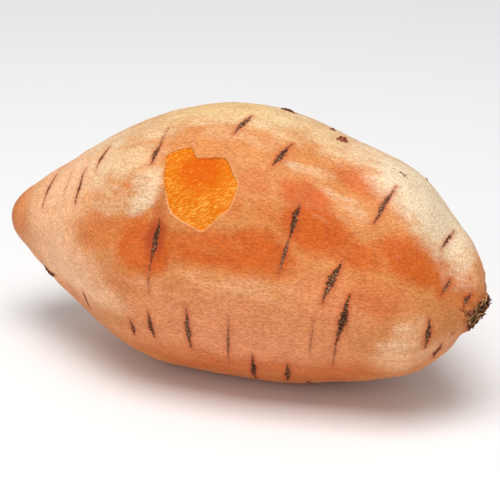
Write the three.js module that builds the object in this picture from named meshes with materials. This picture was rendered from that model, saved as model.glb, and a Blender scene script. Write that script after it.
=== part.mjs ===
// A raw sweet potato: one plump, spindle-shaped storage root, lying on its side.
//
// Units are millimetres. +X runs from the thin root tip to the stem scar, +Z is up, and -Y is the side with the
// scraped patch. The origin is on the surface that the root lies on, under the middle of its bounding box.
// The root is a box geometry rounded into a ball, whose grid has no poles, and each point of the ball is then
// carried out to the skin: to an outline turned about a bent centre line, dented and swollen by hand-placed lumps.

import * as THREE from "three";

// Driving dimensions.
const LENGTH = 158; // root tip to the middle of the stem scar
const BELLY = 43.3; // radius of the fattest section, seen from the side
const DEPTH_SHARE = 0.94; // a section's size from front to back, as a share of its height
const FLAT_SPOT_DEPTH = 1.2; // how much of the round underside the flat resting spot takes
const STEM_SLANT = 0.25; // how far the stem scar's top overhangs its bottom, as a share of its height
const GRID = { along: 34, across: 20 }; // squares on the ball's long and short sides

// The outline from the root tip to the stem scar: [share of the length, share of the belly's radius].
const OUTLINE = [
  [0, 0],
  [0.002, 0.12],
  [0.012, 0.19],
  [0.05, 0.31],
  [0.1, 0.445],
  [0.205, 0.71],
  [0.31, 0.9],
  [0.41, 0.985],
  [0.51, 1],
  [0.615, 0.965],
  [0.715, 0.875],
  [0.805, 0.785],
  [0.88, 0.65],
  [0.935, 0.445],
  [0.975, 0.25],
  [1, 0.14],
  [1, 0],
];

// The centre line at even steps from the root tip to the stem scar: millimetres [towards the front, up].
const CENTRE_LINE = [
  [0, -2],
  [0, -2],
  [0, -0.8],
  [0, 1],
  [0, -1],
  [3.5, -1],
  [12, -3.8],
];

// Broad swellings (height above 0) and hollows (below 0) of the skin. at is [share of the length, degrees around],
// where 0 degrees faces the front, 90 up, 180 the back and 270 down. reach is how far one spreads, in millimetres,
// along the root and around it.
const LUMPS = [
  // Front and top.
  { at: [0.205, 64], reach: [13, 13], height: 0.8 },
  { at: [0.315, 56], reach: [14, 9], height: 1.4 },
  { at: [0.37, 42], reach: [8, 6], height: 0.7 },
  { at: [0.295, 28], reach: [14, 8], height: -1.4 },
  { at: [0.4, 20], reach: [7, 11], height: -0.9 },
  { at: [0.335, 2], reach: [14, 10], height: 0.8 },
  { at: [0.185, -30], reach: [13, 13], height: -2.2 },
  { at: [0.51, 74], reach: [22, 14], height: 0.6 },
  { at: [0.57, 22], reach: [18, 9], height: -0.7 },
  { at: [0.695, 46], reach: [14, 6], height: 0.9 },
  { at: [0.77, 62], reach: [11, 7], height: -0.9 },
  { at: [0.765, 29], reach: [16, 9], height: -1.2 },
  { at: [0.725, 3], reach: [22, 12], height: 0.9 },
  { at: [0.845, 72], reach: [16, 9], height: 1.1 },
  { at: [0.94, 10], reach: [8, 8], height: -0.8 },
  { at: [0.9, -18], reach: [9, 8], height: 0.9 },
  { at: [0.94, -55], reach: [8, 9], height: -2 },
  { at: [0.845, 110], reach: [11, 14], height: 0.3 },
  { at: [0.965, 112], reach: [5, 9], height: 4.8 },
  // Back.
  { at: [0.315, 150], reach: [22, 13], height: 1.1 },
  { at: [0.39, 176], reach: [14, 9], height: -1.2 },
  { at: [0.51, 160], reach: [16, 8], height: 0.7 },
  { at: [0.665, 168], reach: [22, 11], height: 1 },
  { at: [0.825, 195], reach: [14, 12], height: -1 },
  { at: [0.215, 200], reach: [14, 13], height: -0.9 },
  { at: [0.59, 212], reach: [22, 13], height: 0.9 },
  { at: [0.705, 132], reach: [15, 9], height: -0.9 },
];

// The patch where a fingernail has scraped the skin away: a shallow scoop.
const SCRAPE = { at: [0.487, 45], reach: [14, 17], depth: 1 };

const outline = new THREE.SplineCurve(OUTLINE.map(([along, out]) => new THREE.Vector2(along * LENGTH, out * BELLY)));
outline.arcLengthDivisions = 1000;
const centreLine = new THREE.SplineCurve(CENTRE_LINE.map(([forward, up]) => new THREE.Vector2(-forward, up)));

// How much a spot at [share of the length, degrees around] is felt at a point of the skin: 1 at its middle, 0 far off.
function felt(at, reach, along, around, radius) {
  const lengthways = (along - at[0] * LENGTH) / reach[0];
  const turned = THREE.MathUtils.euclideanModulo(around - THREE.MathUtils.degToRad(at[1]) + Math.PI, 2 * Math.PI);
  const sideways = ((turned - Math.PI) * radius) / reach[1];
  return Math.exp(-(lengthways ** 2) - sideways ** 2);
}

// The point of the skin that lies in a direction from the root's middle.
function skinPoint(direction) {
  const turn = Math.acos(THREE.MathUtils.clamp(-direction.x, -1, 1)) / Math.PI; // 0 at the root tip, 1 at the scar
  const { x: along, y: radius } = outline.getPointAt(turn);
  const around = Math.atan2(direction.z, -direction.y);
  const nearRadius = Math.max(radius, BELLY / 4);
  const lumps = LUMPS.reduce((sum, l) => sum + l.height * felt(l.at, l.reach, along, around, nearRadius), 0);
  const scoop = SCRAPE.depth * felt(SCRAPE.at, SCRAPE.reach, along, around, nearRadius) ** 2;
  const swelling = Math.min(1, radius / (BELLY / 4)); // the lumps fade out at both ends
  const out = radius + (lumps - scoop) * swelling;
  const centre = centreLine.getPoint(THREE.MathUtils.clamp(along / LENGTH, 0, 1));
  const slant = STEM_SLANT * THREE.MathUtils.smoothstep(along / LENGTH, 0.95, 1);
  return new THREE.Vector3(
    along + slant * out * Math.sin(around),
    centre.x - out * DEPTH_SHARE * Math.cos(around),
    centre.y + out * Math.sin(around),
  );
}

// A ball with an even grid of squares and no poles: a box whose points are all pushed out to the same radius.
function ball() {
  const geometry = new THREE.BoxGeometry(2, 2, 2, GRID.along, GRID.across, GRID.across);
  const position = geometry.getAttribute("position");
  const point = new THREE.Vector3();
  for (let i = 0; i < position.count; i++) {
    point.fromBufferAttribute(position, i);
    for (const axis of ["x", "y", "z"]) point[axis] = Math.tan((point[axis] * Math.PI) / 4); // evens out the squares
    point.normalize();
    position.setXYZ(i, point.x, point.y, point.z);
  }
  return geometry;
}

// The whole root, moved so that it lies on z = 0 with its box centred on the origin, and flattened where it rests.
function rootGeometry() {
  const geometry = ball();
  const position = geometry.getAttribute("position");
  const point = new THREE.Vector3();
  for (let i = 0; i < position.count; i++) {
    point.copy(skinPoint(point.fromBufferAttribute(position, i)));
    position.setXYZ(i, point.x, point.y, point.z);
  }
  geometry.computeBoundingBox();
  const { min, max } = geometry.boundingBox;
  geometry.translate(-(min.x + max.x) / 2, -(min.y + max.y) / 2, -min.z - FLAT_SPOT_DEPTH);
  for (let i = 0; i < position.count; i++) position.setZ(i, Math.max(position.getZ(i), 0));
  geometry.computeVertexNormals();
  return geometry;
}

const skin = new THREE.MeshStandardMaterial({ color: 0xe39a63, roughness: 0.55, metalness: 0 });

const root = new THREE.Mesh(rootGeometry(), skin);
root.name = "sweet_potato";

const sweetPotato = new THREE.Group();
sweetPotato.add(root);

export default sweetPotato;
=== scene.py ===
"""A raw sweet potato: grained skin with eye scars, a scraped patch of flesh and a torn stem scar.

Lengths are millimetres unless a line says metres. A place on the root is (along, around): millimetres
from the root tip, and degrees round the section: 0 faces the front, 90 up, 180 the back and 270 down.
"""
import math
import random
from collections import namedtuple

import bmesh
import bpy
import numpy as np
from mathutils import Matrix, Quaternion, Vector, noise
from mathutils.bvhtree import BVHTree


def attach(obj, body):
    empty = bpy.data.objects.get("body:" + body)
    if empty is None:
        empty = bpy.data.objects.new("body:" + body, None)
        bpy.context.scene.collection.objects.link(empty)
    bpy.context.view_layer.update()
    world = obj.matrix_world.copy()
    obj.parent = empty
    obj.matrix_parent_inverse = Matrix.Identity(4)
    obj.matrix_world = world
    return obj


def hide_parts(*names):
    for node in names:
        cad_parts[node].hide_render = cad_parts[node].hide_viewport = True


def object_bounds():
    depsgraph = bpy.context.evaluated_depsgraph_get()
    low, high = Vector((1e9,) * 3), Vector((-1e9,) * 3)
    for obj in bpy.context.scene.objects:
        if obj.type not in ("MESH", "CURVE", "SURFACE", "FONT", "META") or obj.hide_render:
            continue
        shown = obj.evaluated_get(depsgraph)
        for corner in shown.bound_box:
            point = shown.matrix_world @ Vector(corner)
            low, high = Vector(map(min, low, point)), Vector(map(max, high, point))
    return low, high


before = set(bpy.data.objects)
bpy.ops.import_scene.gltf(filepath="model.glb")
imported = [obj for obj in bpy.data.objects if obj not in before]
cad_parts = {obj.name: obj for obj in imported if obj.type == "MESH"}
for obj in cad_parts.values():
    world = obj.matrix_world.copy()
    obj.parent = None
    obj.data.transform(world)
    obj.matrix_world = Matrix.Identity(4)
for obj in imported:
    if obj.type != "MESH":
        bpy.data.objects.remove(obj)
cad_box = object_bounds()
MM = 0.001

# Where the camera stands, as seen from the root's middle.
CAMERA_AZIMUTH, CAMERA_ELEVATION, CAMERA_DISTANCE = 20.7, 24.7, 0.6  # degrees, degrees, metres
CAMERA_LENS = 136.6
CAMERA_SLIDE = (0.00073, -0.0035)  # metres to the right and up: the root sits a little high in the frame

# Eye scars: corky slits across the root, each from one place to another.
# belly: where the slit is widest, as a share of its length from the start.
# tones: from 0, dark, to 1, tan, at the start and at the end.
# hollow: how deep the skin sinks by it; the finish also paints shade into that hollow.
Scar = namedtuple("Scar", "start end width belly tones hollow", defaults=(0.45, (0.35, 0.35), 0.12))
FRONT_SCARS = [
    Scar((64, 30), (63, 9), 1.7, 0.45, (0.0, 0.3), 0.9),
    Scar((63, 10), (63, -4), 0.5, 0.1, (0.6, 0.9), 0.05),
    Scar((125, 11), (120.5, -20), 1.9, 0.4, (0.15, 0.35)),
    Scar((121, -16), (118, -39), 0.5, 0.2, (0.5, 0.7), 0.04),
    Scar((121, 27), (117, 5), 2.1, 0.42, (0.2, 0.9)),
    Scar((106, 48), (105, 31), 1.8, 0.4, (0.25, 0.5)),
    Scar((105, 34), (103.5, 15), 0.9, 0.5, (0.5, 0.8)),
    Scar((58.5, 65), (58, 54), 1.2, 0.5, (0.2, 0.55)),
    Scar((58, 76), (58.3, 63), 0.45, 0.7, (0.5, 0.3)),
    Scar((38, 71), (37, 57), 1.1, 0.55, (0.3, 0.1)),
    Scar((32, 58), (31, 37), 0.9, 0.5, (0.3, 0.2)),
    Scar((17, 74), (15.5, 36), 0.8, 0.4, (0.1, 0.7)),
    Scar((82.5, 86), (80.5, 71), 1.6, 0.45, (0.1, 0.7)),
    Scar((98, 75), (95, 61), 1.6, 0.6, (0.6, 0.2)),
    Scar((131, 77), (128, 50), 1.2, 0.6, (0.6, 0.3)),
    Scar((148, 94), (147, 64), 0.9, 0.5, (0.5, 0.4)),
    Scar((151, 43), (149.5, 24), 0.9, 0.5, (0.8, 0.9)),
    Scar((157, 32), (155, 5), 1.1, 0.5, (0.7, 0.6)),
    Scar((147, 0), (146, -28), 1.4, 0.5, (0.3, 0.5)),
    Scar((149.5, -38), (146, -63), 1.8, 0.5, (0.1, 0.5)),
    Scar((153, -34), (152, -38), 0.7, 0.5, (0.5, 0.5)),
    Scar((34, -22), (35, -40), 0.9, 0.4, (0.2, 0.2)),
    Scar((55, -22), (55, -33), 1.2, 0.5, (0.4, 0.4)),
    Scar((62, -14), (62.5, -30), 1.4, 0.6, (0.3, 0.3)),
    Scar((75.5, -9), (74.5, -33), 1.4, 0.5, (0.4, 0.8)),
    Scar((89, -9), (86, -40), 0.6, 0.5, (0.6, 0.6), 0.03),
    Scar((94.5, -30), (91, -58), 1.5, 0.5, (0.2, 0.2)),
    Scar((105, -35), (101.5, -56), 1.5, 0.5, (0.3, 0.4)),
    Scar((114.5, -4), (112, -28), 0.4, 0.5, (0.7, 0.7), 0.03),
    Scar((25.5, 64), (25, 44), 0.35, 0.5, (0.9, 0.9), 0.02),
]
BACK_SCARS = [
    Scar((24, 118), (25, 142), 1.3),
    Scar((44, 126), (45, 154), 1.7),
    Scar((52, 174), (53, 198), 1.7, 0.6),
    Scar((70, 110), (71, 129), 1.7, 0.4),
    Scar((74, 146), (76, 174), 2.0, 0.4, (0.1, 0.5)),
    Scar((92, 130), (94, 149), 1.5),
    Scar((97, 184), (99, 214), 1.9, 0.55, (0.2, 0.7)),
    Scar((113, 118), (115, 145), 1.9, 0.4),
    Scar((118, 158), (121, 186), 2.1, 0.5, (0.1, 0.6)),
    Scar((66, 212), (67, 234), 1.5),
    Scar((86, 230), (88, 254), 1.6, 0.4),
    Scar((112, 224), (114, 246), 1.9),
    Scar((134, 134), (135, 162), 1.7, 0.6, (0.6, 0.3)),
    Scar((139, 194), (140, 224), 1.9, 0.4),
    Scar((149, 118), (149, 144), 1.4),
    Scar((151, 174), (151, 202), 1.5),
    Scar((34, 208), (35, 238), 1.6, 0.5, (0.3, 0.7)),
    Scar((46, 244), (47, 264), 1.3),
    Scar((20, 178), (20, 207), 1.1),
    Scar((128, 248), (129, 270), 1.6),
    Scar((106, 290), (108, 304), 1.4),
    Scar((60, 150), (61, 166), 0.6, 0.5, (0.7, 0.7), 0.03),
    Scar((103, 158), (104, 172), 0.5, 0.5, (0.7, 0.7), 0.03),
]
SCARS = FRONT_SCARS + BACK_SCARS

# Buds: small corky knobs where a fine root broke off.
# (along, around, half length, half width, height, redness)
BUDS = [
    (109.3, 95, 1.7, 1.2, 1.1, 0.9),
    (89, 104, 2.4, 0.8, 0.8, 0.1),
    (104.5, 102, 1.0, 0.6, 0.6, 0.4),
    (106, 94, 0.7, 0.4, 0.2, 0.3),
    (131, 90, 2.2, 1.2, 0.27, 0.3),
    (135, 111, 0.7, 0.5, 0.4, 0.4),
    (17.3, -37, 3.0, 1.5, 0.5, 0.2),
    (156.4, -9, 1.2, 1.1, 1.0, 0.6),
    (58, 132, 1.4, 1.0, 0.9, 0.7),
    (84, 190, 1.6, 1.1, 1.0, 0.8),
    (128, 206, 1.3, 0.9, 0.8, 0.3),
]

# Where the skin stands a little prouder than the plain solid: (along, around, reach, height).
SWELLINGS = [
    (0, 20, 6.5, 1.5), (147, 122, 7, 0.9), (152, 104, 5, 0.5), (20, -48, 6, 0.5),
]

# The scraped patch: its outline, the way its fibres run and how deep it was scraped.
PATCH_OUTLINE = [
    (62.2, 58.7), (65.2, 61.5), (68.6, 62.5), (70.3, 60.8), (71.7, 57.8), (75.2, 58.1), (80.2, 58.8),
    (82.7, 56.4), (84.9, 51.9), (86.8, 48.8), (86.8, 44.5), (86.1, 38.1), (83.3, 33.2), (79.1, 26.5),
    (75.4, 27.8), (70.9, 30.2), (67.9, 33.4), (66.3, 37.5), (64.4, 44.4), (63.4, 48.7), (62.8, 53.9),
]
PATCH_DEPTH = 0.55
FIBRE_TURN = 33  # degrees up from the root's length

# Colour zones of the skin: (along, around, half length, half height, turn in degrees, strength).
# Cream zones: partly the skin's own pale tone, partly a painted highlight along the top and on the
# ridges.
CREAM_AND_HIGHLIGHT = [
    (75, 99, 36, 22, 0, 0.8), (112, 99, 32, 17, 0, 0.65), (137, 91, 20, 17, 0, 1.0),
    (48, 82, 26, 15, 4, 0.6), (46, 59, 17, 8, 0, 0.6), (58, 46, 7, 8, 20, 0.6),
    (57, 38, 7, 5, 30, 0.6), (38, 51, 7, 7, 0, 0.35), (47, 42, 11, 7, 0, 0.35),
    (24, 62, 18, 12, 0, 0.2), (103, 83, 18, 6, -5, 0.3), (105, 65, 9, 2.6, 6, 0.4),
    (117, 57, 12, 3.0, -20, 0.32), (90, 70, 9, 4, 0, 0.25), (143, 76, 8, 7, -30, 0.3),
    (136, 67, 9, 4, -28, 0.6), (140, -18, 9, 5, 62, 0.2), (123, 64, 6, 1.6, -25, 0.15),
    (112, 45, 9, 1.0, -16, 0.2), (26, 24, 3, 12, 0, 0.2), (93, 9, 9, 1.2, -12, 0.15),
    (156, 60, 4, 8, 0, 0.3), (120, 47, 6, 1.2, -25, 0.25), (41, -13, 9, 3, 20, 0.2),
    (75, 122, 45, 12, 0, 0.6), (60, 150, 18, 8, 10, 0.45), (108, 148, 20, 8, -8, 0.5),
    (30, 190, 16, 9, 0, 0.25), (140, 150, 16, 10, 0, 0.45), (80, 196, 16, 5, 12, 0.3),
    (125, 214, 15, 8, 20, 0.25), (64, 184, 9, 2, 20, 0.3),
]
PEACH = [
    (25, 55, 22, 20, 0, 0.9), (22, 20, 15, 17, 0, 0.8), (28, -8, 22, 13, 0, 0.9),
    (44, -14, 13, 7, 20, 0.8), (140, -22, 11, 6, 60, 0.8), (146, -38, 8, 7, 30, 0.55),
    (152, 70, 8, 14, 0, 0.45), (92, 7, 24, 5, 0, 0.35), (138, -38, 9, 8, 0, 0.6),
    (122, 92, 26, 12, 0, 0.5), (62, 2, 8, 4, 0, 0.3), (50, 8, 7, 7, 0, 0.3),
    (30, 190, 18, 12, 0, 0.6), (125, 214, 15, 9, 20, 0.6), (50, 228, 14, 7, -20, 0.6),
    (22, 110, 18, 14, 0, 0.7), (145, 250, 12, 9, 0, 0.6), (92, 258, 16, 6, 8, 0.5),
    (74, 196, 22, 8, 0, 0.4), (20, 260, 16, 12, 0, 0.6),
]
# Deep orange zones: partly the skin's own tone, partly painted shade in the hollows and along the
# underside.
DEEP_AND_SHADE = [
    (45, 23, 17, 8, 0, 0.5), (64, 17, 8, 11, 0, 0.9), (58, 17, 11, 11, 0, 0.8),
    (84, 19, 28, 8, 0, 0.8), (92, 52, 8, 5, 0, 0.5), (107, 52, 10, 6, -6, 0.8),
    (112, 39, 13, 9, -12, 1.0), (125, 32, 14, 5, -4, 0.75), (119, 70, 10, 5, -14, 0.7),
    (141, 40, 14, 8, 2, 0.85), (153, 38, 8, 9, 0, 0.6), (75, 66, 10, 2.8, 6, 0.22),
    (97, 23, 12, 8, 0, 0.9), (51, 45, 6, 1.8, 22, 0.6), (40, 41, 4, 1.8, 20, 0.4),
    (3, 24, 8, 16, 0, 0.4), (131, 91, 3, 2.5, 0, 0.3), (98, 40, 7, 7, 0, 0.45), (14, 2, 4, 9, 0, 0.2),
    (52, -3, 13, 6, -10, 0.4), (102, 88, 6, 1.3, 5, 0.3), (121, 8, 22, 9, 0, 0.3),
    (157, 12, 3, 12, 0, 0.35), (88, 38, 4, 6, 0, 0.45), (150, -22, 5, 6, 0, 0.35),
    (62, 34, 5, 3, 0, 0.5), (133, 10, 13, 9, 0, 0.5), (88, -45, 44, 12, 0, 0.6),
    (118, -47, 20, 10, 0, 0.6), (50, 172, 16, 9, 8, 0.7), (88, 170, 16, 9, -6, 0.75),
    (118, 184, 18, 9, 6, 0.85), (70, 134, 11, 4, 6, 0.5), (112, 130, 11, 4, -8, 0.5),
    (100, 214, 16, 8, 0, 0.65), (142, 180, 12, 9, 0, 0.7), (30, 150, 12, 7, 0, 0.5),
    (66, 216, 13, 7, 0, 0.55), (150, 220, 8, 9, 0, 0.5), (130, 260, 16, 9, 0, 0.4),
    (60, 255, 18, 9, 0, 0.4),
]
YELLOW = [
    (70, 95, 34, 20, 0, 1.0), (100, 88, 18, 14, -10, 0.7), (46, 60, 20, 12, 0, 0.5),
    (80, 125, 40, 14, 0, 0.5),
]
PINK = [
    (92, -22, 44, 20, 0, 0.9), (120, 3, 20, 12, 0, 0.75), (30, -12, 22, 16, 0, 0.7),
    (72, 33, 3, 3, 0, 0.6), (82, 22, 8, 3, 0, 0.3), (22, 40, 10, 14, 0, 0.35),
    (68, -10, 16, 8, 0, 0.7), (136, 12, 9, 6, 0, 0.5), (120, 105, 25, 7, 0, 0.35),
    (90, 240, 50, 18, 0, 0.85), (40, 230, 20, 14, 0, 0.7), (85, 285, 50, 18, 0, 0.85),
    (120, 232, 20, 12, 0, 0.6), (25, 250, 18, 16, 0, 0.7), (140, 285, 16, 14, 0, 0.6),
]

ZONES = {"cream_and_highlight": CREAM_AND_HIGHLIGHT, "yellow": YELLOW, "peach": PEACH, "deep_and_shade": DEEP_AND_SHADE, "pink": PINK}

# The torn stem scar: a facet across the root's end, which looks along the root, to the front and down.
STEM_STATION = 8.8  # where the ray that finds its middle starts, back from the root's end
STEM_AIM = (0.83, -0.44, -0.3)
STEM_FACING = (0.875, -0.307, -0.375)
STEM_RADIUS = 5.4

FAR = 9.0  # how far outside a scar or the patch still counts
BUD_REACH = 6  # how far from its middle a bud is felt


def ramp(value, low, high):
    """0 below low and 1 above high, with a smooth change between them."""
    t = np.clip((value - low) / (high - low), 0, 1)
    return t * t * (3 - 2 * t)


def rough(points, size, seed=0):
    """Smooth noise between -1 and 1 at every point, with lumps about as big as size."""
    shift = Vector((17.3, -9.1, 5.7)) * (seed + 1)
    return np.array([noise.noise(Vector(p) / size + shift) for p in points])


def bell(value, reach):
    """1 at 0, falling to nearly 0 at twice the reach."""
    return np.exp(-((value / reach) ** 2))


def coordinates(mesh):
    flat = np.empty(len(mesh.vertices) * 3)
    mesh.vertices.foreach_get("co", flat)
    return flat.reshape(-1, 3) / MM


class Root:
    """The root's smooth surface, and places on it."""

    def __init__(self, mesh):
        points = coordinates(mesh)
        self.low, self.high = points.min(axis=0), points.max(axis=0)
        self.stations = np.linspace(self.low[0], self.high[0], 32)
        self.middles = np.array([self.section_middle(points, x) for x in self.stations])
        faces = [list(p.vertices) for p in mesh.polygons]
        self.tree = BVHTree.FromPolygons([Vector(p) for p in points], faces)
        x = self.high[0] - STEM_STATION
        self.stem = self.tree.ray_cast(Vector((x, *self.middle(x))), Vector(STEM_AIM))[0]

    @staticmethod
    def section_middle(points, x):
        section = points[np.abs(points[:, 0] - x) < 4]
        return (section[:, 1:].min(axis=0) + section[:, 1:].max(axis=0)) / 2

    def middle(self, x):
        return np.stack([np.interp(x, self.stations, self.middles[:, i]) for i in (0, 1)], axis=-1)

    def spot(self, along, around):
        """The point of the surface at a place, and the direction in which the surface faces there."""
        x = self.low[0] + along
        turn = math.radians(around)
        start = Vector((x, *self.middle(x)))
        point, normal, _, _ = self.tree.ray_cast(start, Vector((0, -math.cos(turn), math.sin(turn))))
        return point, normal

    def places(self, points):
        """Each point's along and around, and its distance from the root's centre line."""
        offset = points[:, 1:] - self.middle(points[:, 0])
        around = np.degrees(np.arctan2(offset[:, 1], -offset[:, 0]))
        return points[:, 0] - self.low[0], around, np.hypot(offset[:, 0], offset[:, 1])


def scar_frame(root, scar):
    """A scar's start and length, and the directions along it and across it."""
    start, _ = root.spot(*scar.start)
    end, _ = root.spot(*scar.end)
    _, normal = root.spot(*[(a + b) / 2 for a, b in zip(scar.start, scar.end)])
    ahead = (end - start).normalized()
    across = normal.cross(ahead).normalized()
    return start, (end - start).length, ahead, across


def scar_half_width(scar, share):
    """Half of a scar's width at a share of its length: widest at its belly, with thin tails."""
    share = np.clip(share, 0, 1)
    toward = np.where(share < scar.belly, share / scar.belly, (1 - share) / (1 - scar.belly))
    return scar.width / 2 * np.sin(toward * math.pi / 2) ** 1.9


def scar_fields(root, points):
    """How far each point is outside the nearest scar's edge, and the tone, width and hollow there."""
    edge = np.full(len(points), FAR)
    tone, width, hollow = np.zeros(len(points)), np.ones(len(points)), np.zeros(len(points))
    for index, scar in enumerate(SCARS):
        start, length, ahead, across = scar_frame(root, scar)
        offset = points - np.array(start)
        from_middle = np.linalg.norm(offset - np.array(ahead) * length / 2, axis=1)
        near = np.where(from_middle < length / 2 + FAR)[0]
        offset = offset[near]
        share = offset @ np.array(ahead) / length
        wander = [noise.noise(Vector((s * length / 4, index * 3.1, 0))) for s in share]
        side = offset @ np.array(across) - 0.35 * np.array(wander) * min(scar.width, 1.5)
        ragged = [noise.noise(Vector((s * length / 0.9, index * 7.7 + (v > 0), 1)))
                  for s, v in zip(share, side)]
        half = scar_half_width(scar, share) * (1 + 0.75 * np.array(ragged))
        beyond = np.maximum(np.abs(share - 0.5) - 0.5, 0) * length
        distance = np.where(beyond > 0, np.hypot(beyond, side), np.abs(side) - half)
        closer = distance < edge[near]
        here = near[closer]
        edge[here] = distance[closer]
        share = np.clip(share[closer], 0, 1)
        tone[here] = scar.tones[0] + (scar.tones[1] - scar.tones[0]) * share
        width[here] = scar.width
        sink_reach = 4.0 if scar.hollow > 0.5 else 1.8
        sink = scar.hollow * bell(share - 0.45, 0.5) * bell(side[closer], sink_reach)
        hollow[here] = np.maximum(hollow[here], sink)
    return edge, tone, width, hollow


def patch_frame(root):
    """The middle of the scraped patch, and the directions along the root, round it and out of it."""
    outline = [root.spot(*place)[0] for place in PATCH_OUTLINE]
    middle = sum(outline, Vector()) / len(outline)
    _, facing = root.spot(76, 45)
    lengthways = (Vector((1, 0, 0)) - facing * facing.x).normalized()
    return outline, middle, lengthways, facing.cross(lengthways), facing


def smooth_loop(corners, steps=6):
    """A closed Catmull-Rom curve through the corners, as a list of points."""
    loop = []
    count = len(corners)
    for i in range(count):
        a, b, c, d = (corners[(i + k - 1) % count] for k in range(4))
        for s in range(steps):
            t = s / steps
            loop.append(0.5 * (2 * b + (c - a) * t + (2 * a - 5 * b + 4 * c - d) * t ** 2
                               + (3 * b - a - 3 * c + d) * t ** 3))
    return loop


def patch_fields(root, points):
    """How far each point is outside the patch, and its place along the fibres, paleness and lip there."""
    outline, middle, lengthways, upwards, facing = patch_frame(root)
    axes = np.array([lengthways, upwards, facing])
    flat = np.array([axes @ np.array(p - middle) for p in outline])[:, :2]
    loop = np.array(smooth_loop(list(flat)))
    local = (points - np.array(middle)) @ axes.T
    distance = np.full(len(points), FAR)
    near = np.where((np.abs(local[:, 2]) < 12) & (np.hypot(local[:, 0], local[:, 1]) < 24))[0]
    wander = np.stack([rough(points[near], 1.1, 31), rough(points[near], 1.1, 32)], axis=1)
    spot = local[near, :2] + 0.22 * wander
    closest = np.full(len(near), 1e9)
    inside = np.zeros(len(near), bool)
    for a, b in zip(loop, np.roll(loop, -1, axis=0)):
        side = b - a
        t = np.clip(((spot - a) @ side) / (side @ side), 0, 1)
        closest = np.minimum(closest, np.linalg.norm(spot - a - t[:, None] * side, axis=1))
        crosses = (a[1] > spot[:, 1]) != (b[1] > spot[:, 1])
        rise = side[1] or 1e-9
        at = a[0] + (spot[:, 1] - a[1]) / rise * side[0]
        inside ^= crosses & (spot[:, 0] < at)
    distance[near] = np.clip(np.where(inside, -closest, closest), -FAR, FAR)
    # Paler flesh and a pale lip towards the patch's lower and right side.
    pale = ramp(np.hypot((local[:, 0] - 0.5) / 8.5, (local[:, 1] - 3.5) / 7), 0.35, 1.6)
    lip = ramp(0.5 * local[:, 0] - local[:, 1], -7, 5)
    turn = math.radians(FIBRE_TURN)
    fibre = np.stack([local[:, 0] * math.cos(turn) + local[:, 1] * math.sin(turn),
                      local[:, 1] * math.cos(turn) - local[:, 0] * math.sin(turn), local[:, 2]], axis=1)
    return distance, fibre, pale, lip


def stem_frame(root):
    """The middle of the stem scar, the direction in which it faces, and two directions in its plane."""
    facing = Vector(STEM_FACING).normalized()
    upwards = (Vector((0, 0, 1)) - facing * facing.z).normalized()
    return root.stem, facing, upwards, facing.cross(upwards)


def stem_fields(root, points):
    """How far each point is outside the stem scar, its height above the facet, and its angle round it."""
    middle, facing, upwards, across = stem_frame(root)
    offset = points - np.array(middle)
    height = offset @ np.array(facing)
    up, side = offset @ np.array(upwards), offset @ np.array(across)
    reach = np.hypot(up, side) - STEM_RADIUS
    return np.maximum(reach, -5 - height), height, np.arctan2(up, side)


def bud_fields(root, points):
    """How high the buds stand at each point, and how red they are there."""
    height, red = np.zeros(len(points)), np.zeros(len(points))
    for along, around, half_length, half_width, tall, redness in BUDS:
        point, facing = root.spot(along, around)
        lengthways = (Vector((1, 0, 0)) - facing * facing.x).normalized()
        offset = points - np.array(point)
        near = np.linalg.norm(offset, axis=1) < BUD_REACH
        x = offset @ np.array(lengthways) / half_length
        y = offset @ np.array(facing.cross(lengthways)) / half_width
        felt = np.where(near, np.exp(-((x * x + y * y) ** 1.5)), 0)
        height += felt * tall
        red = np.maximum(red, felt * redness)
    return height, red


def refine(shape, wanted):
    """Cuts every face that is wanted into four."""
    middles = np.array([f.calc_center_median() for f in shape.faces]) / MM
    chosen = wanted(middles)
    for face, take in zip(shape.faces, chosen):
        face.tag = bool(take)
    edges = [e for e in shape.edges if any(face.tag for face in e.link_faces)]
    bmesh.ops.subdivide_edges(shape, edges=edges, cuts=1, use_grid_fill=True)
    bmesh.ops.triangulate(shape, faces=[f for f in shape.faces if len(f.verts) > 4])


def smooth_copy(node):
    """The CAD solid's skin, merged and rounded by two levels of subdivision."""
    shape = bmesh.new()
    shape.from_mesh(node.data)
    bmesh.ops.remove_doubles(shape, verts=shape.verts, dist=1e-5)
    bmesh.ops.join_triangles(
        shape, faces=shape.faces, angle_face_threshold=0.6, angle_shape_threshold=0.7)
    mesh = bpy.data.meshes.new("smooth root")
    shape.to_mesh(mesh)
    shape.free()
    rounder = bpy.data.objects.new("rounder", mesh)
    bpy.context.scene.collection.objects.link(rounder)
    modifier = rounder.modifiers.new("Round", "SUBSURF")
    modifier.levels = modifier.render_levels = 2
    # Rounding draws the corners in, so they move out until the rounded skin passes through the solid's.
    wanted = corners = coordinates(mesh)
    for _ in range(3):
        rounded = rounded_mesh(rounder)
        corners = corners + wanted - coordinates(rounded)[:len(wanted)]
        mesh.vertices.foreach_set("co", (corners * MM).ravel())
        mesh.update()
    smooth = rounded_mesh(rounder)
    bpy.data.objects.remove(rounder)
    return smooth


def rounded_mesh(made):
    return bpy.data.meshes.new_from_object(made.evaluated_get(bpy.context.evaluated_depsgraph_get()))


def refined_copy(root, smooth):
    """The smooth skin with smaller faces where it has scars, buds, the patch and the torn end."""
    shape = bmesh.new()
    shape.from_mesh(smooth)

    def near_detail(reach, patch_reach):
        def wanted(points):
            edge = scar_fields(root, points)[0]
            patch = patch_fields(root, points)[0]
            stem, _, _ = stem_fields(root, points)
            bud, _ = bud_fields(root, points)
            return ((edge < reach) | (np.abs(patch) < patch_reach) | (bud > 0.02) | (stem < reach)
                    | ((patch < 0) & (reach > 0.6)))
        return wanted

    refine(shape, near_detail(1.0, 0.8))
    refine(shape, near_detail(0.27, 0.4))
    bmesh.ops.recalc_face_normals(shape, faces=shape.faces)
    mesh = bpy.data.meshes.new("root skin")
    shape.to_mesh(mesh)
    shape.free()
    return mesh


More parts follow.
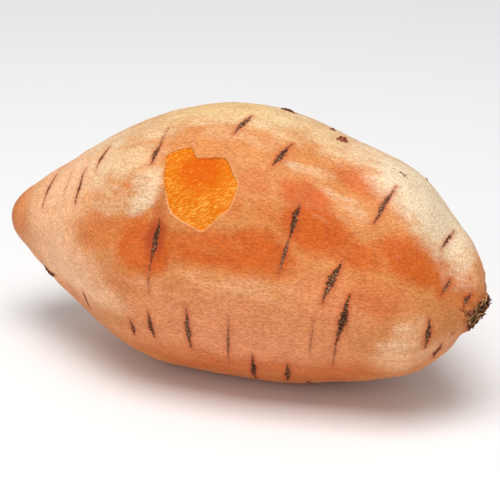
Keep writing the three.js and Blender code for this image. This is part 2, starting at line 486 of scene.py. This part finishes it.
def dabs(root, points, zones, blur=0.6):
    """How much each point lies in a set of colour zones, 0 to 1. Their outlines wander a little."""
    along, around, radius = root.places(points)
    along = along + 2.2 * rough(points, 9, 40) + 0.7 * rough(points, 2.6, 41)
    shift = 1.8 * rough(points, 8, 42) + 0.7 * rough(points, 2.4, 43)
    total = np.zeros(len(points))
    for x, degrees, half_length, half_height, turn, strength in zones:
        ahead = along - x
        sideways = np.radians((around - degrees + 180) % 360 - 180) * np.maximum(radius, 12) + shift
        c, s = math.cos(math.radians(turn)), math.sin(math.radians(turn))
        turned = (ahead * c + sideways * s) / half_length, (sideways * c - ahead * s) / half_height
        reach = np.hypot(*turned)
        total = np.maximum(total, strength * (1 - ramp(reach, 1 - blur, 1 + blur * 0.6)))
    return total


def relief(root, points, fields):
    """How far each point of the skin stands proud of the smooth root, in millimetres."""
    names = ("edge", "width", "hollow", "patch", "fibre", "stem", "angle", "bud", "cream_and_highlight", "deep_and_shade")
    edge, width, hollow, patch, fibre, stem, angle, bud, cream_and_highlight, deep_and_shade = (fields[k] for k in names)
    proud = 0.25 * rough(points, 11, 1) + 0.13 * rough(points, 4.5, 2) + 0.05 * rough(points, 2.2, 3)
    for along, around, reach, height in SWELLINGS:
        place = np.array(root.spot(max(along, 0.5), around)[0])
        proud += height * bell(np.linalg.norm(points - place, axis=1), reach)
    # The pale zones are low swellings and the deep orange ones shallow hollows; their colours also hold a
    # painted highlight and painted shade.
    proud += 0.3 * cream_and_highlight - 0.4 * deep_and_shade
    # Eye scars: a corky floor below a slightly raised rim.
    weight = np.clip(width / 1.6, 0.25, 1.2)
    inside = ramp(-edge, -0.05, 0.35)
    cork = 0.3 * rough(points, 0.75, 4) + 0.16 * rough(points, 0.4, 5)
    proud += weight * (inside * (cork - 0.34) + 0.15 * bell(edge - 0.45, 0.4)) - hollow
    # Buds: rough knobs.
    proud += bud * (1 + 0.5 * rough(points, 0.7, 6))
    # The scraped patch: cut below the skin, with a crisp lip and raised fibres.
    scraped = ramp(-patch, -0.12, 0.3)
    strands = np.array([noise.noise(Vector((a / 5, b / 0.95, 3))) for a, b, _ in fibre])
    proud = proud * (1 - 0.6 * scraped) + scraped * (0.17 * strands - PATCH_DEPTH)
    proud += 0.14 * bell(patch - 0.3, 0.35)
    # The stem end: wrinkles that run out from the scar, a torn rim, and a rough sunken floor.
    away = np.clip(stem, 0, 40)
    ripple = np.array([noise.noise(Vector((math.cos(t) * 8, math.sin(t) * 8, d / 9)))
                       for t, d in zip(angle, away)])
    proud += 0.9 * ripple * ramp(-stem, -12, -1) * (stem > 0)
    torn = ramp(-stem, -0.1, 0.7)
    crumbs = 0.7 * rough(points, 1.4, 7) + 0.35 * rough(points, 0.6, 8)
    proud += torn * (crumbs - 0.6) + (0.35 + 0.4 * rough(points, 1.3, 9)) * bell(stem - 0.2, 0.7)
    return proud


def put(mesh, name, values):
    """Stores a marking on the mesh, for the finish to read."""
    kind, key = ("FLOAT", "value") if values.ndim == 1 else ("FLOAT_VECTOR", "vector")
    layer = mesh.attributes.new(name, kind, "POINT")
    layer.data.foreach_set(key, values.astype(np.float32).ravel())


def put_markings(mesh, fields):
    put(mesh, "scar_edge", np.minimum(fields["edge"], FAR))
    put(mesh, "scar_tone", fields["tone"])
    put(mesh, "scar_hollow", fields["hollow"])
    put(mesh, "scar_strength", np.clip(fields["width"] / 1.1, 0, 1))
    put(mesh, "patch_edge", fields["patch"])
    put(mesh, "stem_edge", np.clip(fields["stem"], -FAR, 60))
    put(mesh, "bud", np.clip(fields["bud"] * 2, 0, 1))
    for name in ("fibre", "patch_pale", "patch_lip", "bud_red", "around_tip", *ZONES):
        put(mesh, name, fields[name])


def build_skin(root, smooth):
    """The whole root's surface, with its relief in the mesh and its markings as attributes."""
    mesh = refined_copy(root, smooth)
    points = coordinates(mesh)
    normals = np.empty(len(points) * 3)
    mesh.vertices.foreach_get("normal", normals)
    fields = dict(zip(("edge", "tone", "width", "hollow"), scar_fields(root, points)))
    in_patch = zip(("patch", "fibre", "patch_pale", "patch_lip"), patch_fields(root, points))
    fields.update(in_patch)
    # The cream zones carry a painted highlight and the deep orange zones painted shade, besides the
    # skin's own colour.
    fields["cream_and_highlight"], fields["deep_and_shade"] = dabs(root, points, CREAM_AND_HIGHLIGHT), dabs(root, points, DEEP_AND_SHADE)
    # The stem end is cut to a flat facet first.
    fields["stem"], height, fields["angle"] = stem_fields(root, points)
    cut = ramp(-fields["stem"], -1.2, 0.8) * (height > -5)
    points = points - (cut * (height - 0.5))[:, None] * np.array(stem_frame(root)[1])
    fields["bud"], fields["bud_red"] = bud_fields(root, points)
    for name in ("yellow", "peach", "pink"):
        fields[name] = dabs(root, points, ZONES[name], 0.9)
    fields["around_tip"] = ramp(-(points[:, 0] - root.low[0]), -7, -0.5)
    raised = points + normals.reshape(-1, 3) * relief(root, points, fields)[:, None]
    raised[:, 2] = np.maximum(raised[:, 2], 0)
    mesh.vertices.foreach_set("co", (raised * MM).ravel())
    mesh.update()
    mesh.shade_smooth()
    put_markings(mesh, fields)
    return piece("root_skin", mesh)


def piece(name, mesh):
    made = bpy.data.objects.new(name, mesh)
    bpy.context.scene.collection.objects.link(made)
    return made


# Finishes


def srgb(text):
    """A colour's linear values from its six hexadecimal digits."""
    parts = [int(text[i:i + 2], 16) / 255 for i in (0, 2, 4)]
    return [c / 12.92 if c <= 0.04045 else ((c + 0.055) / 1.055) ** 2.4 for c in parts] + [1]


class Finish:
    """A material, with short calls for the nodes that the finishes share."""

    def __init__(self, name):
        self.material = bpy.data.materials.new(name)
        self.material.use_nodes = True
        self.nodes, self.links = self.material.node_tree.nodes, self.material.node_tree.links
        self.shader = self.nodes["Principled BSDF"]
        self.place = self.nodes.new("ShaderNodeTexCoord").outputs["Object"]

    def set(self, socket, value):
        if isinstance(value, bpy.types.NodeSocket):
            self.links.new(value, socket)
        else:
            socket.default_value = value

    def marking(self, name, output="Fac"):
        node = self.nodes.new("ShaderNodeAttribute")
        node.attribute_name = name
        return node.outputs[output]

    def math(self, how, a, b):
        node = self.nodes.new("ShaderNodeMath")
        node.operation = how
        self.set(node.inputs[0], a)
        self.set(node.inputs[1], b)
        return node.outputs[0]

    def remap(self, value, low, high, to_low=0.0, to_high=1.0):
        node = self.nodes.new("ShaderNodeMapRange")
        node.interpolation_type = "SMOOTHSTEP"
        for name, v in (("Value", value), ("From Min", low), ("From Max", high), ("To Min", to_low),
                        ("To Max", to_high)):
            self.set(node.inputs[name], v)
        return node.outputs[0]

    def stretch(self, source, scale, turn=(0, 0, 0)):
        node = self.nodes.new("ShaderNodeMapping")
        node.inputs["Scale"].default_value = scale
        node.inputs["Rotation"].default_value = [math.radians(a) for a in turn]
        self.set(node.inputs["Vector"], source)
        return node.outputs[0]

    def grain(self, size, detail=2.0, roughness=0.5, source=None, distortion=0.0):
        """Noise from 0 to 1 with lumps about as big as size, in millimetres."""
        node = self.nodes.new("ShaderNodeTexNoise")
        self.set(node.inputs["Vector"], source or self.place)
        for name, v in (("Scale", 1 / (size * MM)), ("Detail", detail), ("Roughness", roughness),
                        ("Distortion", distortion)):
            node.inputs[name].default_value = v
        return node.outputs["Fac"]

    def mix(self, amount, a, b, how="MIX"):
        node = self.nodes.new("ShaderNodeMix")
        node.data_type, node.blend_type = "RGBA", how
        self.set(node.inputs["Factor"], amount)
        self.set(node.inputs[6], a)
        self.set(node.inputs[7], b)
        return node.outputs[2]

    def bump(self, height, depth):
        """Bumps up to depth millimetres high."""
        node = self.nodes.new("ShaderNodeBump")
        node.inputs["Distance"].default_value = depth * MM
        self.set(node.inputs["Height"], height)
        self.links.new(node.outputs[0], self.shader.inputs["Normal"])


SKIN_MID = srgb("cd8247")
# The cream colour is partly the skin's pale tone and partly a painted highlight.
SKIN_CREAM_AND_HIGHLIGHT, SKIN_YELLOW, SKIN_PEACH = srgb("e2caa8"), srgb("deba82"), srgb("ecb588")
# The deep orange is partly the skin's tone and partly painted shade.
SKIN_DEEP_AND_SHADE = srgb("c45a18")
SKIN_PINK = srgb("e08d5e")
CORK_DARK, CORK_BROWN, CORK_TAN = srgb("38211a"), srgb("74432a"), srgb("bd9a72")
# The hollow colour is painted shade, tinted red, where the skin sinks round a scar.
SCAR_RIM, SCAR_HALO, SCAR_HOLLOW_SHADE = srgb("8a3a1c"), srgb("b94c1e"), srgb("9c3a18")
PATCH_RIM = srgb("eebd86")
STEM_RING, TIP_BROWN = srgb("a04c22"), srgb("b4602c")
FIBRE_BROWN, FIBRE_PALE, GRAIN_PALE = srgb("77462a"), srgb("c09262"), srgb("b8966e")
FLESH, FLESH_PALE, FLESH_DEEP = srgb("d26a00"), srgb("f2b24c"), srgb("cf5800")
BUD_RED = srgb("9a4426")
GRAIN_TINT = (0.7, 1.0, 1.25)  # how strongly the grain darkens the red, the green and the blue
ON_FIBRES = 1000  # a grain's size where its place is already in fibres, not in metres


def sharpen(finish, marking, noise_amount, low=0.25, high=0.75):
    """A zone's strength with a grainy, fairly crisp edge."""
    zone = finish.math("ADD", finish.marking(marking), noise_amount)
    return finish.remap(zone, low, high)


def skin_colour(f):
    """Peach skin with pale zones, partly a painted highlight on the top and the ridges, darker orange
    zones, partly painted shade in the hollows and on the underside, pinkish zones, and a leathery grain
    of short strokes.
    """
    streaks = f.grain(3.2, 3, 0.6, f.stretch(f.place, (0.3, 1, 1), (0, -8, 0)))
    wander = f.math("ADD", f.math("MULTIPLY", f.math("SUBTRACT", streaks, 0.5), 0.8),
                    f.math("MULTIPLY", f.math("SUBTRACT", f.grain(0.8, 3, 0.65), 0.5), 0.4))
    colour = f.mix(sharpen(f, "pink", wander, 0.0, 1.0), SKIN_MID, SKIN_PINK)
    colour = f.mix(sharpen(f, "peach", wander, 0.0, 1.0), colour, SKIN_PEACH)
    # Deep orange, partly painted shade in the hollows and on the underside.
    colour = f.mix(sharpen(f, "deep_and_shade", wander, 0.1, 0.98), colour, SKIN_DEEP_AND_SHADE)
    # Cream, partly a painted highlight on the top and the ridges.
    cream_and_highlight = f.mix(f.marking("yellow"), SKIN_CREAM_AND_HIGHLIGHT, SKIN_YELLOW)
    colour = f.mix(sharpen(f, "cream_and_highlight", wander, 0.08, 0.95), colour, cream_and_highlight)
    strokes = f.grain(0.8, 2.5, 0.6, f.stretch(f.place, (0.65, 1.6, 1.6), (0, 35, 0)), 0.4)
    fine = f.grain(0.36, 2, 0.6)
    blotches = f.grain(7, 3, 0.6)
    light = f.remap(strokes, 0.25, 0.75, 0.71, 1.29)
    light = f.math("ADD", light, f.remap(fine, 0.25, 0.75, -0.14, 0.14))
    light = f.math("ADD", light, f.remap(blotches, 0.3, 0.7, -0.07, 0.07))
    shade = f.nodes.new("ShaderNodeCombineColor")
    for socket, share in zip(shade.inputs, GRAIN_TINT):
        f.set(socket, f.math("ADD", f.math("MULTIPLY", light, share), 1 - share))
    return f.mix(1.0, colour, shade.outputs[0], "MULTIPLY")


def cork_colour(f, tone):
    """Crumbly cork: dark hollows between brown and tan grains."""
    grains = f.grain(0.6, 2, 0.7)
    amount = f.math("ADD", f.math("SUBTRACT", grains, 0.5), f.math("MULTIPLY", tone, 0.16))
    colour = f.mix(f.remap(amount, -0.1, 0.1), CORK_DARK, CORK_BROWN)
    return f.mix(f.remap(amount, 0.12, 0.22), colour, CORK_TAN)


def flesh_colour(f):
    """Scraped flesh: saturated orange with pale fibres that all run one way."""
    fibre = f.marking("fibre", "Vector")
    strokes = f.grain(ON_FIBRES, 3, 0.6, f.stretch(fibre, (0.7, 2.6, 1.0)), 0.5)
    streaks = f.grain(ON_FIBRES, 2, 0.5, f.stretch(fibre, (0.18, 0.35, 0.2)))
    patchy = f.math("ADD", streaks, f.marking("patch_pale"))
    amount = f.math("ADD", strokes, f.math("MULTIPLY", f.marking("patch_pale"), 0.11))
    colour = f.mix(f.remap(patchy, 0.4, 1.1), FLESH_DEEP, FLESH)
    return f.mix(f.remap(amount, 0.55, 0.8, 0, 0.8), colour, FLESH_PALE)


def with_scars(f, colour, fine):
    """The skin's colour with its scars: a darker red in the hollow round the deeper scars, partly the
    skin's tint and partly painted shade, a redder halo, a dark rim and a floor of cork.
    """
    # Painted shade, tinted red, in the hollow round a scar.
    colour = f.mix(f.remap(f.marking("scar_hollow"), 0.15, 0.8, 0, 0.85), colour, SCAR_HOLLOW_SHADE)
    edge = f.math("ADD", f.marking("scar_edge"), f.math("MULTIPLY", fine, 1.5))
    strength = f.marking("scar_strength")
    colour = f.mix(f.math("MULTIPLY", f.remap(edge, 0.1, 2.2, 0.45, 0), strength), colour, SCAR_HALO)
    colour = f.mix(f.math("MULTIPLY", f.remap(edge, 0.0, 0.55, 0.7, 0), strength), colour, SCAR_RIM)
    cork = cork_colour(f, f.marking("scar_tone"))
    in_scar = f.math("MULTIPLY", f.remap(edge, -0.2, 0.1, 1, 0), f.remap(strength, 0, 0.8, 0.3, 1))
    return f.mix(in_scar, colour, cork), cork, in_scar


def with_patch(f, colour, fine):
    """The scraped patch, inside its thin pale rim."""
    patch = f.math("ADD", f.marking("patch_edge"), f.math("MULTIPLY", fine, 0.5))
    lip = f.math("MULTIPLY", f.remap(patch, 0.0, 0.7, 0.42, 0), f.marking("patch_lip"))
    colour = f.mix(lip, colour, PATCH_RIM)
    in_patch = f.remap(patch, -0.1, 0.08, 1, 0)
    return f.mix(in_patch, colour, flesh_colour(f)), in_patch


def with_ends(f, colour):
    """The torn stem end and the brown root tip."""
    torn = f.math("MULTIPLY", f.math("SUBTRACT", f.grain(1.6, 3), 0.5), 2.5)
    stem = f.math("ADD", f.marking("stem_edge"), torn)
    colour = f.mix(f.remap(stem, 0.2, 3.5, 0.55, 0), colour, STEM_RING)
    in_stem = f.remap(stem, -0.3, 0.3, 1, 0)
    colour = f.mix(in_stem, colour, CORK_DARK)
    tip = f.math("ADD", f.marking("around_tip"), f.math("SUBTRACT", f.grain(1.8, 3), 0.5))
    return f.mix(f.remap(tip, 0.5, 1.2, 0, 0.6), colour, TIP_BROWN), in_stem


def grey(value):
    return (value, value, value, 1)


def skin_bumps(f, corky):
    """Fine leathery grain, coarse crumbs where it is corky, and low folds along the root."""
    grain = f.math("MULTIPLY", f.grain(1.0, 3, 0.6), 0.7)
    height = f.math("ADD", grain, f.math("MULTIPLY", f.grain(0.4, 2), 0.4))
    crumbs = f.math("MULTIPLY", corky, f.grain(0.45, 3, 0.7))
    height = f.math("ADD", height, f.math("MULTIPLY", crumbs, 1.5))
    folds = f.grain(3.6, 2, 0.5, f.stretch(f.place, (0.4, 1, 1), (0, -10, 0)), 0.6)
    f.bump(f.math("ADD", height, f.math("MULTIPLY", folds, 2.2)), 0.2)


def skin_finish():
    f = Finish("Root skin")
    fine = f.math("SUBTRACT", f.grain(0.7, 3, 0.7), 0.5)
    colour, cork, in_scar = with_scars(f, skin_colour(f), fine)
    bud = f.math("ADD", f.marking("bud"), f.math("MULTIPLY", fine, 0.7))
    bud_cork = f.mix(f.marking("bud_red"), cork, BUD_RED)
    colour = f.mix(f.remap(bud, 0.35, 0.75), colour, bud_cork)
    colour, in_patch = with_patch(f, colour, fine)
    colour, in_stem = with_ends(f, colour)
    f.set(f.shader.inputs["Base Color"], colour)
    corky = f.math("MAXIMUM", in_scar, in_stem)
    f.set(f.shader.inputs["Roughness"], f.mix(corky, grey(0.5), grey(0.9)))
    f.set(f.shader.inputs["Specular IOR Level"], f.remap(in_patch, 0, 1, 0.2, 0.07))
    skin_bumps(f, corky)
    return f.material


def cork_finish(name, brown, pale, turning):
    """Loose cork or torn fibres, each bit with its own tone: dark below turning and pale above it."""
    f = Finish(name)
    uneven = f.math("MULTIPLY", f.math("SUBTRACT", f.grain(0.6, 2, 0.7), 0.5), 0.8)
    tone = f.math("ADD", f.marking("tone"), uneven)
    colour = f.mix(f.remap(tone, turning - 0.45, turning), CORK_DARK, brown)
    colour = f.mix(f.remap(tone, turning, turning + 0.55), colour, pale)
    colour = f.mix(f.math("MULTIPLY", f.marking("red"), 0.6), colour, BUD_RED)
    f.set(f.shader.inputs["Base Color"], colour)
    f.shader.inputs["Roughness"].default_value = 0.88
    f.shader.inputs["Specular IOR Level"].default_value = 0.2
    f.bump(f.grain(0.3, 2, 0.6), 0.08)
    return f.material


# Loose grains and fibres

RAY_START = 4  # how far above the skin a ray starts that drops a grain on it
FIBRES, CRUMBS = 170, 300  # on the stem scar


def surface_under(made):
    shape = bmesh.new()
    shape.from_mesh(made.data)
    tree = BVHTree.FromBMesh(shape)
    shape.free()
    return tree


def add_grain(shape, layer, place, facing, size, tone, draw):
    """One crumb of cork: a rounded lump with a few facets, squeezed and turned at random."""
    turned = Quaternion(facing, draw.uniform(0, math.tau)).to_matrix().to_4x4()
    squeeze = Matrix.Diagonal((*(draw.uniform(0.6, 1.3) for _ in range(3)), 1))
    matrix = Matrix.Translation(place) @ turned @ squeeze
    made = bmesh.ops.create_icosphere(shape, subdivisions=1, radius=size, matrix=matrix)
    for v in made["verts"]:
        v.co += Vector([draw.uniform(-0.28, 0.28) * size for _ in range(3)])
        v[layer] = tone
    return made["verts"]


def loose_piece(name, shape):
    """Turns a shape made of loose bits into a piece, with its faces outwards."""
    bmesh.ops.recalc_face_normals(shape, faces=shape.faces)
    mesh = bpy.data.meshes.new(name)
    shape.to_mesh(mesh)
    shape.free()
    return piece(name, mesh)


def fill_scar(root, scar, under, shape, layer, draw):
    """Crumbs of cork along one scar."""
    start, length, ahead, across = scar_frame(root, scar)
    outward = root.spot(*[(a + b) / 2 for a, b in zip(scar.start, scar.end)])[1]
    for _ in range(round(length * scar.width)):
        share = draw.uniform(0.03, 0.97)
        half = float(scar_half_width(scar, share))
        side = draw.gauss(0, 0.45) * half
        above = start + ahead * share * length + across * side + outward * RAY_START
        place, normal, _, _ = under.ray_cast(above * MM, -outward)
        if place is None:
            continue
        size = draw.uniform(0.12, 0.26) * min(1, 0.4 + scar.width / 3)
        tone = scar.tones[0] + (scar.tones[1] - scar.tones[0]) * share
        tone = draw.choice((0.0, 0.2, 0.45, 0.8, 1.2)) * 0.75 + tone * 0.45
        add_grain(shape, layer, place + normal * size * 0.2 * MM, normal, size * MM, tone, draw)


def cover_bud(root, bud, under, shape, layer, red, draw):
    """Crumbs of cork over one bud, if it stands high enough to have them."""
    along, around, half_length, half_width, tall, redness = bud
    point, outward = root.spot(along, around)
    lengthways = (Vector((1, 0, 0)) - outward * outward.x).normalized()
    for _ in range(round(60 * half_length * half_width * min(max(tall - 0.2, 0), 0.5))):
        above = point + lengthways * draw.gauss(0, 0.5) * half_length + outward * RAY_START
        above += outward.cross(lengthways) * draw.gauss(0, 0.5) * half_width
        place, normal, _, _ = under.ray_cast(above * MM, -outward)
        size = draw.uniform(0.15, 0.32) * MM
        tone = draw.choice((0.0, 0.25, 0.5, 0.9))
        for v in add_grain(shape, layer, place, normal, size, tone, draw):
            v[red] = redness


def build_cork_grains(root, skin):
    """The crumbs of cork that fill the eye scars and cover the buds."""
    draw = random.Random(11)
    under = surface_under(skin)
    shape = bmesh.new()
    shape.verts.layers.float.new("tone")
    shape.verts.layers.float.new("red")
    layer, red = shape.verts.layers.float["tone"], shape.verts.layers.float["red"]
    for scar in SCARS:
        fill_scar(root, scar, under, shape, layer, draw)
    for bud in BUDS:
        cover_bud(root, bud, under, shape, layer, red, draw)
    return loose_piece("scar_cork_grains", shape)


def add_fibre(shape, layer, place, ahead, bend, length, thick, tone, draw):
    """One torn fibre: a five-sided spindle, flattened, bent and a little uneven."""
    made = bmesh.ops.create_uvsphere(shape, u_segments=5, v_segments=6, radius=1)
    turn = ahead.to_track_quat("Z", "Y")
    for v in made["verts"]:
        share = v.co.z / 2
        out = thick * draw.uniform(0.8, 1.3)
        spot = turn @ Vector((v.co.x * out, v.co.y * out * 0.6, share * length))
        v.co = place + spot + bend * share * share * length
        v[layer] = tone + draw.uniform(-0.15, 0.15)


def lay_fibre(frame_of_scar, place, lying, shape, layer, draw):
    """A long fibre that lies on the stem scar, or a short one that stands out of it."""
    _, facing, upwards, across = frame_of_scar
    lean = draw.uniform(0.0, 0.35) if lying else draw.uniform(0.5, 1.0)
    spin = draw.gauss(0.3, 0.8) + draw.choice((0, math.pi))
    ahead = (facing * lean + upwards * math.cos(spin) + across * math.sin(spin)).normalized()
    length = draw.uniform(1.8, 4.0) if lying else draw.uniform(0.8, 1.8)
    bend = Vector([draw.uniform(-0.35, 0.35) for _ in range(3)])
    tone = draw.choice((0.0, 0.0, 0.2, 0.4, 0.6, 0.9, 1.3))
    thick = draw.uniform(0.22, 0.5) * MM
    place = place + facing * draw.uniform(0, 0.6) * MM
    add_fibre(shape, layer, place, ahead, bend, length * MM, thick, tone, draw)


def build_stem_fibres(root, skin):
    """The torn stem scar: a tangled mat of short woody fibres and crumbs."""
    draw = random.Random(23)
    under = surface_under(skin)
    shape = bmesh.new()
    layer = shape.verts.layers.float.new("tone")
    middle, facing, upwards, across = stem_frame(root)

    def place_on_scar(reach):
        turn = draw.uniform(0, math.tau)
        out = STEM_RADIUS * reach * math.sqrt(draw.random())
        start = middle + upwards * math.sin(turn) * out + across * math.cos(turn) * out + facing * 5
        return under.ray_cast(start * MM, -facing)[0]

    for index in range(FIBRES):
        place = place_on_scar(1.0)
        if place is not None:
            lay_fibre((middle, facing, upwards, across), place, index % 4 != 0, shape, layer, draw)
    for _ in range(CRUMBS):
        place = place_on_scar(1.08)
        if place is not None:
            tone = draw.choice((-0.1, 0.0, 0.2, 0.6, 1.1))
            add_grain(shape, layer, place, facing, draw.uniform(0.2, 0.55) * MM, tone, draw)
    return loose_piece("stem_fibres", shape)


# The set


def build_floor():
    shape = bmesh.new()
    bmesh.ops.create_grid(shape, x_segments=1, y_segments=1, size=6)
    mesh = bpy.data.meshes.new("floor")
    shape.to_mesh(mesh)
    shape.free()
    floor = piece("floor", mesh)
    f = Finish("Pale floor")
    f.shader.inputs["Base Color"].default_value = grey(0.86)
    f.shader.inputs["Roughness"].default_value = 0.8
    mesh.materials.append(f.material)


def add_softbox(name, place, size, watts):
    """A square light that faces the root. Place and size are in metres."""
    light = bpy.data.lights.new(name, "AREA")
    light.shape, light.size, light.energy = "SQUARE", size, watts
    holder = bpy.data.objects.new(name, light)
    holder.location = place
    holder.rotation_euler = (Vector((0, 0, 0.04)) - Vector(place)).to_track_quat("-Z", "Y").to_euler()
    bpy.context.scene.collection.objects.link(holder)


def light_set():
    add_softbox("top softbox", (0.07, -0.27, 1.0), 0.6, 9.2)
    add_softbox("front softbox", (-0.45, -1.0, 0.45), 0.8, 1.9)
    world = bpy.data.worlds.new("Studio")
    world.use_nodes = True
    world.node_tree.nodes["Background"].inputs["Color"].default_value = (1, 1, 1, 1)
    world.node_tree.nodes["Background"].inputs["Strength"].default_value = 0.42
    bpy.context.scene.world = world
    bpy.context.scene.view_settings.view_transform = "Standard"


def place_camera():
    azimuth, elevation = math.radians(CAMERA_AZIMUTH), math.radians(CAMERA_ELEVATION)
    back = Vector((math.sin(azimuth) * math.cos(elevation), -math.cos(azimuth) * math.cos(elevation),
                   math.sin(elevation)))
    right = Vector((math.cos(azimuth), math.sin(azimuth), 0))
    up = back.cross(right)
    camera = bpy.data.objects.new("camera", bpy.data.cameras.new("camera"))
    camera.data.lens = CAMERA_LENS
    camera.data.sensor_width = 36
    middle = (cad_box[0] + cad_box[1]) / 2
    camera.location = middle + back * CAMERA_DISTANCE + right * CAMERA_SLIDE[0] + up * CAMERA_SLIDE[1]
    camera.rotation_euler = Matrix((right, up, back)).transposed().to_euler()
    bpy.context.scene.collection.objects.link(camera)
    bpy.context.scene.camera = camera


place_camera()
light_set()
build_floor()

cad_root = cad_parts["sweet_potato"]
root = Root(cad_root.data)
smooth = smooth_copy(cad_root)
skin = build_skin(root, smooth)
skin.data.materials.append(skin_finish())
grains = build_cork_grains(root, skin)
grains.data.materials.append(cork_finish("Scar cork", CORK_BROWN, GRAIN_PALE, 0.5))
fibres = build_stem_fibres(root, skin)
fibres.data.materials.append(cork_finish("Torn stem fibre", FIBRE_BROWN, FIBRE_PALE, 0.45))
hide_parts("sweet_potato")
for made in (skin, grains, fibres):
    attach(made, "root")
